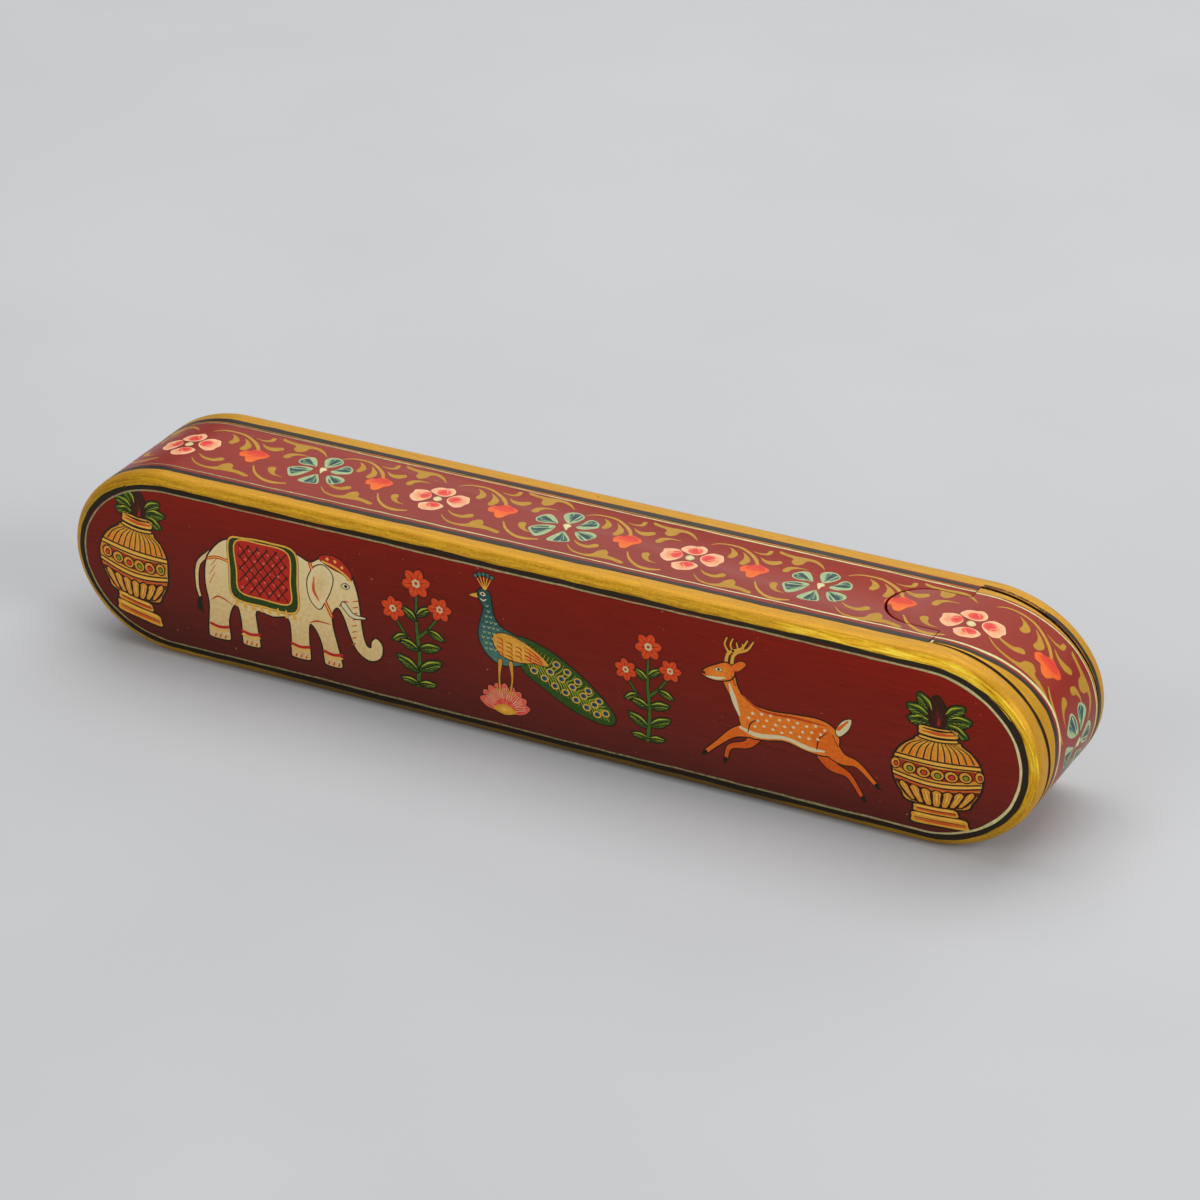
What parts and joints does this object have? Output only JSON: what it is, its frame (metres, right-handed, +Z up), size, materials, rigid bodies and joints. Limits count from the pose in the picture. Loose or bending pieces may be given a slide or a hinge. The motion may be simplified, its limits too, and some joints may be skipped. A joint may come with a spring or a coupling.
{
  "type": "wooden pen storage box",
  "caption": "Long lacquered wooden pen box with rounded ends, gilded edges and floral bands, standing on its narrow side; a tray with a tongued end block slides out of the right end.",
  "frame": {"origin": "middle of the narrow flat that the box stands on", "axes": "+X along the length towards the end that opens, +Y to the rear, away from the painted face, +Z up"},
  "size_m": [0.24, 0.0384, 0.046],
  "materials": {
    "lacquer": "maroon paint under clear gloss lacquer, faint brush streaks",
    "bare_wood": "sanded, unpainted",
    "gilding": "gold paint brushed along the boards' edges",
    "gold_paint": "fine gold paint of scrolls and vases",
    "black_paint": "black outline paint under lacquer",
    "cream_paint": "thin pale line under lacquer",
    "pink_paint": "peach and pink petals",
    "teal_paint": "pale green and teal petals",
    "orange_paint": "orange-red buds and feathers",
    "green_paint": "leaves"
  },
  "bodies": {
    "case": {"front_board": "lacquer", "back_board": "lacquer", "left_end_block": "lacquer", "top_rail": "lacquer", "bottom_rail": "lacquer"},
    "tray": {"tray_end_block": "lacquer", "tray_floor": "bare_wood", "tray_upper_wall": "bare_wood", "tray_lower_wall": "bare_wood", "tray_inner_end": "bare_wood"}
  },
  "joints": [
    {"name": "tray_slide", "type": "slide", "parent": "case", "child": "tray", "axis": [1, 0, 0], "range_m": [0, 0.22]}
  ]
}
